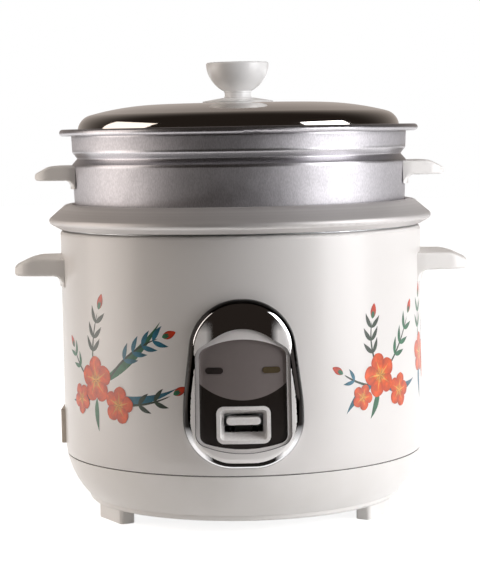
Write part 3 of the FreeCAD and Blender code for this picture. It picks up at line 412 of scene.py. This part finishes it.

# Switch works: a bent steel lever on a pin in a folded bracket, with a black phenolic micro switch below it.
# The bracket is zinc-plated; the lever is painted near black as painted shade, so that the tray's window
# stays dark behind the bar; the moulding is matt with a fine mottle.
lever_painted_black = finish(
    "steel_painted_black_for_shade", ("#1c1a19", "#262422"), grain_mm=4, roughness=(0.45, 0.6), Metallic=0.6
)
black_phenolic = finish(
    "black_phenolic", ("#1d1c1b", "#272523"), grain_mm=4, roughness=(0.42, 0.58), skin_mm=1.0, relief_mm=0.004
)
dress(zinc_plate, "switch_bracket", "bracket_screws", "pivot_pin")
# Painted shade: the lever is coloured near black so the window behind the bar reads as dark.
dress(lever_painted_black, "switch_lever")
dress(black_phenolic, "micro_switch")

# Warm-keeping thermostat and thermal fuse: small ceramic bodies under the liner's floor.
# Unglazed ceramic is cream and quite dull, with a gritty skin.
cream_ceramic = finish(
    "unglazed_ceramic", ("#e0dacd", "#cfc8b8"), grain_mm=3, roughness=(0.65, 0.8), skin_mm=0.8, relief_mm=0.01
)
dress(cream_ceramic, "warm_thermostat", "thermal_fuse")

# Lamp holder and its two neon lamps behind the panel: a black phenolic block with small glass tubes in it.
# The glass is smooth and clear, with a faint warm tint.
lamp_glass = finish(
    "neon_lamp_glass", ("#f2d9c4", "#e5c2a4"), grain_mm=4, roughness=(0.04, 0.08),
    IOR=1.5, **{"Transmission Weight": 0.8},
)
dress(black_phenolic, "lamp_holder")
dress(lamp_glass, "neon_lamps")

# Panel bezel: a domed arch of plated plastic on the drum's front. The brow is bright chrome, which shows the
# room almost undimmed. The flank that turns back to the drum is painted near black as a painted dark
# reflection, and narrows to a painted dark streak at the foot; the lip next to the trim ring is painted pale
# and dull as a painted highlight, from the shoulders down.
bezel_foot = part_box("panel_bezel")[0][2]
flank_start, flank_full = bezel_foot + 0.018, bezel_foot + 0.03
shoulder_low, shoulder_high = bezel_foot + 0.076, bezel_foot + 0.09
lip_foot = bezel_foot + 0.04
lip_fade, lip_top = bezel_foot + 0.095, bezel_foot + 0.103
lip_inside, lip_outside = 0.0195, 0.0245
streak_full, streak_end = 0.021, 0.027
# Facing is how far a surface looks to the front: 1 where it is square to it, 0 where it looks sideways.
flank_facing_low, flank_facing_high = 0.94, 0.74
streak_facing, streak_spread = 0.83, 0.11
lip_facing = 0.86
product = {"operation": "MULTIPLY"}
larger = {"operation": "MAXIMUM"}
under = {"operation": "LESS_THAN"}
painted_reflection_chrome, tree = new_material("bright_chrome_with_painted_reflections")
texture = add_node(tree, "TexCoord")
place = texture.outputs["Object"]
axes = add_node(tree, "SeparateXYZ", {}, {"Vector": place})
rise = axes.outputs["Z"]
aside = add_node(tree, "Math", {"operation": "ABSOLUTE"}, {0: axes.outputs["X"]})
tilt = add_node(tree, "SeparateXYZ", {}, {"Vector": texture.outputs["Normal"]}).outputs["Y"]
facing = add_node(tree, "Math", product, {0: tilt, 1: -1.0})
limits = {"From Min": shoulder_low, "From Max": shoulder_high}
edge = {"To Min": flank_facing_low, "To Max": flank_facing_high}
flank_facing = add_node(tree, "MapRange", {}, {"Value": rise, **limits, **edge})
flank = add_node(tree, "Math", under, {0: facing, 1: flank_facing})
above = add_node(tree, "MapRange", {}, {"Value": rise, "From Min": flank_start, "From Max": flank_full})
flank = add_node(tree, "Math", product, {0: flank, 1: above})
streak = add_node(tree, "Math", {"operation": "COMPARE"}, {0: facing, 1: streak_facing, 2: streak_spread})
ends = add_node(tree, "MapRange", {}, {"Value": aside, "From Min": streak_end, "From Max": streak_full})
low_down = add_node(tree, "Math", under, {0: rise, 1: flank_start})
for mask in (ends, low_down):
    streak = add_node(tree, "Math", product, {0: streak, 1: mask})
# Painted reflection: the flank and the foot streak are marked here to be coloured near black.
dark = add_node(tree, "Math", larger, {0: flank, 1: streak})
beside = add_node(tree, "MapRange", {}, {"Value": aside, "From Min": lip_inside, "From Max": lip_outside})
at_foot = add_node(tree, "Math", under, {0: rise, 1: lip_foot})
lip = add_node(tree, "Math", larger, {0: beside, 1: at_foot})
below = add_node(tree, "MapRange", {}, {"Value": rise, "From Min": lip_top, "From Max": lip_fade})
square = add_node(tree, "Math", {"operation": "GREATER_THAN"}, {0: facing, 1: lip_facing})
not_dark = add_node(tree, "Math", {"operation": "SUBTRACT"}, {0: 1.0, 1: dark})
for mask in (below, square, not_dark):
    lip = add_node(tree, "Math", product, {0: lip, 1: mask})
cloud_mm = 20
cloud = add_node(tree, "TexNoise", {}, {"Vector": place, "Scale": 1000 / cloud_mm, "Detail": 2.0})
bright = add_node(tree, "Mix", colour_mix, {0: cloud, 6: linear("#dcdcde"), 7: linear("#d4d4d6")})
# Painted highlight on the lip, and painted dark reflection on the flank and streak.
pale = add_node(tree, "Mix", colour_mix, {0: lip, 6: bright, 7: linear("#fbf9f8")})
colour = add_node(tree, "Mix", colour_mix, {0: dark, 6: pale, 7: linear("#171514")})
metal = add_node(tree, "MapRange", {}, {"Value": lip, "To Min": 1.0, "To Max": 0.1})
gloss = add_node(tree, "MapRange", {}, {"Value": lip, "To Min": 0.05, "To Max": 0.2})
shader = add_node(tree, "BsdfPrincipled", {}, {"Base Color": colour, "Metallic": metal, "Roughness": gloss})
add_node(tree, "OutputMaterial", {}, {"Surface": shader})
dress(painted_reflection_chrome, "panel_bezel")

# Trim ring: a moulded plastic rim nested between bezel and facia, sprayed with a pale satin lacquer.
# The coat is faintly cloudy, and painted shade darkens its creases.
satin_lacquer = finish(
    "pale_satin_lacquer", ("#f4f1f0", "#efebea"), grain_mm=10, roughness=(0.16, 0.22), IOR=1.5
)
# Painted shade darkens the trim ring where the bezel and facia stand over it.
crease_shaded_lacquer = with_painted_crease_shade(satin_lacquer, "pale_satin_lacquer_with_painted_crease_shade", reach_mm=0.8)
dress(crease_shaded_lacquer, "panel_trim_ring")

# Facia plate: a gloss black sheet nested in the trim ring. It is screen-printed with a warm grey field, which
# has a faint grain and an arc for its lower edge.
field_bottom = 0.0983
field_radius = 0.0440
field_blur = 0.0002
print_grain_mm = 4
screen_print, tree = new_material("screen_printed_facia")
place = add_node(tree, "TexCoord").outputs["Object"]
axes = add_node(tree, "SeparateXYZ", {}, {"Vector": place})
upright = add_node(tree, "CombineXYZ", {}, {"X": axes.outputs["X"], "Z": axes.outputs["Z"]})
centre = (0, 0, field_bottom + field_radius)
reach = add_node(tree, "VectorMath", {"operation": "DISTANCE"}, {0: upright, 1: centre}).outputs["Value"]
limits = {"From Min": field_radius - field_blur, "From Max": field_radius + field_blur}
field = add_node(tree, "MapRange", {}, {"Value": reach, **limits, "To Min": 1.0, "To Max": 0.0})
grain = add_node(tree, "TexNoise", {}, {"Vector": place, "Scale": 1000 / print_grain_mm, "Detail": 3.0})
warm = add_node(tree, "Mix", colour_mix, {0: grain, 6: linear("#7f7776"), 7: linear("#837b79")})
colour = add_node(tree, "Mix", colour_mix, {0: field, 6: linear("#241f1c"), 7: warm})
gloss = add_node(tree, "MapRange", {}, {"Value": grain, "To Min": 0.23, "To Max": 0.27})
shader = add_node(tree, "BsdfPrincipled", {}, {"Base Color": colour, "Roughness": gloss, "IOR": 1.5})
add_node(tree, "OutputMaterial", {}, {"Surface": shader})
dress(screen_print, "panel_plate")

# Switch tray and the lever's bar: plastic sprayed with a pale silver lacquer of fine flakes, which
# scatters more than it mirrors.
silver_lacquer = finish("silver_lacquer", ("#fdfcfb", "#f3f0ef"), grain_mm=2, roughness=(0.14, 0.2), IOR=1.6)
dress(silver_lacquer, "switch_tray", "lever_cap")

# Lamp lenses: small windows of smoked acrylic in the facia plate, in front of the neon lamps.
# Both are smooth and dark until lit; the warm lamp's lens is amber.
smoked_acrylic = finish("smoked_acrylic", ("#2f2b2a", "#383231"), grain_mm=6, roughness=(0.1, 0.16), IOR=1.49)
amber_acrylic = finish(
    "smoked_amber_acrylic", ("#4f4636", "#5a4f3a"), grain_mm=6, roughness=(0.1, 0.16), IOR=1.49
)
dress(smoked_acrylic, "cook_lens")
dress(amber_acrylic, "warm_lens")

# Power inlet: a flanged socket of heat-resisting beige polyamide through the drum's left wall, with two brass
# pins. The moulding is dull, with a fine grain of about 1 mm on its skin.
beige_polyamide = finish(
    "beige_polyamide", ("#cdc4b9", "#c2b8ab"), grain_mm=6, roughness=(0.4, 0.5),
    skin_mm=1.0, relief_mm=0.006, IOR=1.53,
)
dress(beige_polyamide, "inlet_socket")
dress(bare_brass, "inlet_pins")

# Drum handles: the base's white moulding, hollow below for the fingers.
# Zinc-plated screws hold them from inside the drum.
dress(moulded_white, "left_handle", "right_handle")
dress(zinc_plate, "handle_screws")

# Cooking pot: spun aluminium, its wide ring left with fine turning marks under a satin finish.
# It stands loose in the well, and its lathe marks are drawn as coarse as the sensor cup's.
dress(spun_aluminium, "cooking_pot")

# Steamer tier: drawn aluminium, blasted and then brushed up and down by hand, so that it glitters in short
# streaks. The brush marks, 0.1 mm wide in the real metal, are drawn 0.6 mm wide and 2 mm long. The rolls that
# formed the groove and the rim have burnished them, so their edges draw thin bright lines.
steamer_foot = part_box("steamer_bowl")[0][2]
steamer_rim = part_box("steamer_bowl")[1][2]
groove_middle = steamer_foot + 0.0489
groove_inside, groove_outside = 0.0056, 0.0068
rim_inside, rim_outside = 0.0055, 0.0065
mark_wide_mm, mark_long_mm = 0.6, 2
mark_depth = 0.000006
blast_mm = 9
burnish_roughness = 0.32
edge_radius = 0.0015
brushed_aluminium, tree = new_material("blasted_brushed_aluminium")
place = add_node(tree, "TexCoord").outputs["Object"]
marks = (1000 / mark_wide_mm, 1000 / mark_wide_mm, 1000 / mark_long_mm)
drawn = add_node(tree, "Mapping", {}, {"Vector": place, "Scale": marks})
streaks = add_node(tree, "TexNoise", {}, {"Vector": drawn, "Scale": 1.0, "Detail": 3.0})
blend = add_node(tree, "MapRange", {}, {"Value": streaks, "From Min": 0.35, "From Max": 0.65})
colour = add_node(tree, "Mix", colour_mix, {0: blend, 6: linear("#c3c1c5"), 7: linear("#aeacb0")})
patches = add_node(tree, "TexNoise", {}, {"Vector": place, "Scale": 1000 / blast_mm, "Detail": 3.0})
limits = {"From Min": 0.3, "From Max": 0.7, "To Min": 0.49, "To Max": 0.56}
blasted = add_node(tree, "MapRange", {}, {"Value": patches, **limits})
height = add_node(tree, "SeparateXYZ", {}, {"Vector": place}).outputs["Z"]
limits = {"From Min": steamer_rim - rim_outside, "From Max": steamer_rim - rim_inside}
rim = add_node(tree, "MapRange", {}, {"Value": height, **limits})
away = add_node(tree, "Math", {"operation": "SUBTRACT"}, {0: height, 1: groove_middle})
away = add_node(tree, "Math", {"operation": "ABSOLUTE"}, {0: away})
limits = {"From Min": groove_outside, "From Max": groove_inside}
groove = add_node(tree, "MapRange", {}, {"Value": away, **limits})
burnished = add_node(tree, "Math", larger, {0: rim, 1: groove})
limits = {"To Min": blasted, "To Max": burnish_roughness}
gloss = add_node(tree, "MapRange", {}, {"Value": burnished, **limits})
rounded = add_node(tree, "Bevel", {"samples": 6}, {"Radius": edge_radius})
scratch = add_node(tree, "Bump", {}, {"Height": streaks, "Distance": mark_depth, "Normal": rounded})
shader = add_node(tree, "BsdfPrincipled", {}, {
    "Base Color": colour, "Metallic": 1.0, "Roughness": gloss, "Normal": scratch,
})
add_node(tree, "OutputMaterial", {}, {"Surface": shader})
dress(brushed_aluminium, "steamer_bowl", "steamer_rivets")
dress(moulded_white, "steamer_left_handle", "steamer_right_handle")

# Lid: drawn stainless steel polished to a mirror, with a vent hole near the edge.
# Polishing on a mop leaves very faint rings in its gloss.
mirror_steel = finish(
    "mirror_polished_steel", ("#cfcac5", "#c7c2bd"), grain_mm=5, roughness=(0.05, 0.08),
    turned=True, Metallic=1.0,
)
dress(mirror_steel, "lid_dome")

# Knob and its collar: white melamine, drawn down on the lid by a screw from inside. It is glossier than the
# other mouldings, and painted whiter than them as painted light, since the lamps reach its downward-turned
# sides less.
# Painted light: this white is lighter than the other mouldings' to stand in for light the knob lacks.
lighter_painted_melamine = finish(
    "gloss_white_melamine_painted_lighter", ("#ffffff", "#fbfbfb"), grain_mm=30, roughness=(0.2, 0.26), IOR=1.55
)
dress(lighter_painted_melamine, "lid_knob", "knob_collar")
dress(zinc_plate, "knob_screw")

# Studio table: white laminate, its front edge just outside the picture. It is lit until it shows as white, a
# little less so close to the feet, and casts back on the part only the light that falls on it.
table_side, table_front, table_back = 5, -0.36, 6


def shown(tree):
    """Node that gives 1 to rays that show a thing straight, mirrored or through glass, and 0 to others."""
    rays = add_node(tree, "LightPath").outputs
    seen = add_node(tree, "Math", larger, {0: rays["Is Camera Ray"], 1: rays["Is Glossy Ray"]})
    return add_node(tree, "Math", larger, {0: seen, 1: rays["Is Transmission Ray"]})


table_mesh = bpy.data.meshes.new("studio_table")
corners = [
    (-table_side, table_front, 0), (table_side, table_front, 0),
    (table_side, table_back, 0), (-table_side, table_back, 0),
]
table_mesh.from_pydata(corners, [], [(0, 1, 2, 3)])
table = add_object("studio_table", table_mesh)
white_laminate, tree = new_material("white_laminate")
place = add_node(tree, "TexCoord").outputs["Object"]
reach = add_node(tree, "VectorMath", {"operation": "LENGTH"}, {0: place}).outputs["Value"]
limits = {"From Min": 0.12, "From Max": 0.5, "To Min": 0.8, "To Max": 1.0}
glow = add_node(tree, "MapRange", {}, {"Value": reach, **limits})
glow = add_node(tree, "Math", product, {0: shown(tree), 1: glow})
shader = add_node(tree, "BsdfPrincipled", {}, {
    "Base Color": linear("#e8e8e8"), "Roughness": 0.9, "Specular IOR Level": 0.0,
    "Emission Color": (1, 1, 1, 1), "Emission Strength": glow,
})
add_node(tree, "OutputMaterial", {}, {"Surface": shader})
table_mesh.materials.append(white_laminate)

# Studio backdrop: it shows as white, and the light that it casts is a dim warm fill, which comes from
# overhead and fades to almost nothing at the horizon.
fill_horizon = (0.005, 0.004, 0.003, 1.0)
fill_zenith = (0.36, 0.338, 0.318, 1.0)
backdrop_white = (1.0, 1.0, 1.0, 1.0)
world = bpy.data.worlds.new("studio_world")
bpy.context.scene.world = world
world.use_nodes = True
tree = world.node_tree
tree.nodes.clear()
axes = add_node(tree, "SeparateXYZ", {}, {"Vector": add_node(tree, "TexCoord").outputs["Generated"]})
overhead = add_node(tree, "Mix", colour_mix, {0: axes.outputs["Z"], 6: fill_horizon, 7: fill_zenith})
fill = add_node(tree, "Mix", colour_mix, {0: shown(tree), 6: overhead, 7: backdrop_white})
backdrop = add_node(tree, "Background", {}, {"Color": fill, "Strength": 1.0})
add_node(tree, "OutputWorld", {}, {"Surface": backdrop})

# Studio room: it only shows in reflections. Its walls are light far behind the table, fall off steeply
# overhead and to the sides, and are dark behind the camera.
room_radius = 4.0
fall_off = 3.0
room_mesh = bpy.data.meshes.new("studio_room")
shape = bmesh.new()
bmesh.ops.create_uvsphere(shape, u_segments=64, v_segments=32, radius=room_radius)
shape.to_mesh(room_mesh)
shape.free()
room = add_object("studio_room", room_mesh)
room_walls, tree = new_material("studio_walls")
axes = add_node(tree, "SeparateXYZ", {}, {"Vector": add_node(tree, "TexCoord").outputs["Object"]})
back = add_node(tree, "MapRange", {}, {"Value": axes.outputs["Y"], "From Max": room_radius})
back = add_node(tree, "Math", {"operation": "POWER"}, {0: back, 1: fall_off})
shade = add_node(tree, "Mix", colour_mix, {0: back, 6: linear("#2a2420"), 7: linear("#bfb5ae")})
glow = add_node(tree, "Emission", {}, {"Color": shade, "Strength": 1.0})
add_node(tree, "OutputMaterial", {}, {"Surface": glow})
room_mesh.materials.append(room_walls)
room.visible_camera = False
room.visible_diffuse = False
room.visible_shadow = False
room.visible_transmission = False

# Soft boxes: a strong one to the right of the camera and a weaker, warmer one on the left.
# Azimuth runs from the camera's side towards +X.
lit_point = Vector((0, 0, 0.2))
for name, azimuth, distance, height, width, tall, power, colour in (
    ("right_soft_box", 63, 0.88, 0.39, 0.54, 0.76, 6.9, "#fffeff"),
    ("left_soft_box", -85, 0.75, 0.38, 0.56, 0.8, 3.0, "#fff4eb"),
):
    lamp = bpy.data.lights.new(name, "AREA")
    lamp.shape = "RECTANGLE"
    lamp.size = width
    lamp.size_y = tall
    lamp.energy = power
    lamp.color = linear(colour)[:3]
    soft_box = add_object(name, lamp)
    turn = math.radians(azimuth)
    soft_box.location = (distance * math.sin(turn), -distance * math.cos(turn), height)
    aim = lit_point - soft_box.location
    soft_box.rotation_euler = aim.to_track_quat("-Z", "Y").to_euler()

# Camera: a long lens at about the height of the steamer's rim, as far off as the picture's perspective says.
# It looks slightly down and leans over by one degree.
camera_place = (0, -1.4, 0.2803)
pitch = math.radians(-4.867)
yaw = math.radians(0.04)
roll = math.radians(-1.038)
camera_data = bpy.data.cameras.new("camera")
camera_data.lens = 115.8
camera_data.sensor_width = 36.0
camera = add_object("camera", camera_data)
level = Matrix.Rotation(yaw, 4, "Z") @ Matrix.Rotation(math.pi / 2 + pitch, 4, "X")
camera.matrix_world = Matrix.Translation(camera_place) @ level @ Matrix.Rotation(roll, 4, "Z")
bpy.context.scene.camera = camera
bpy.context.scene.view_settings.view_transform = "Standard"
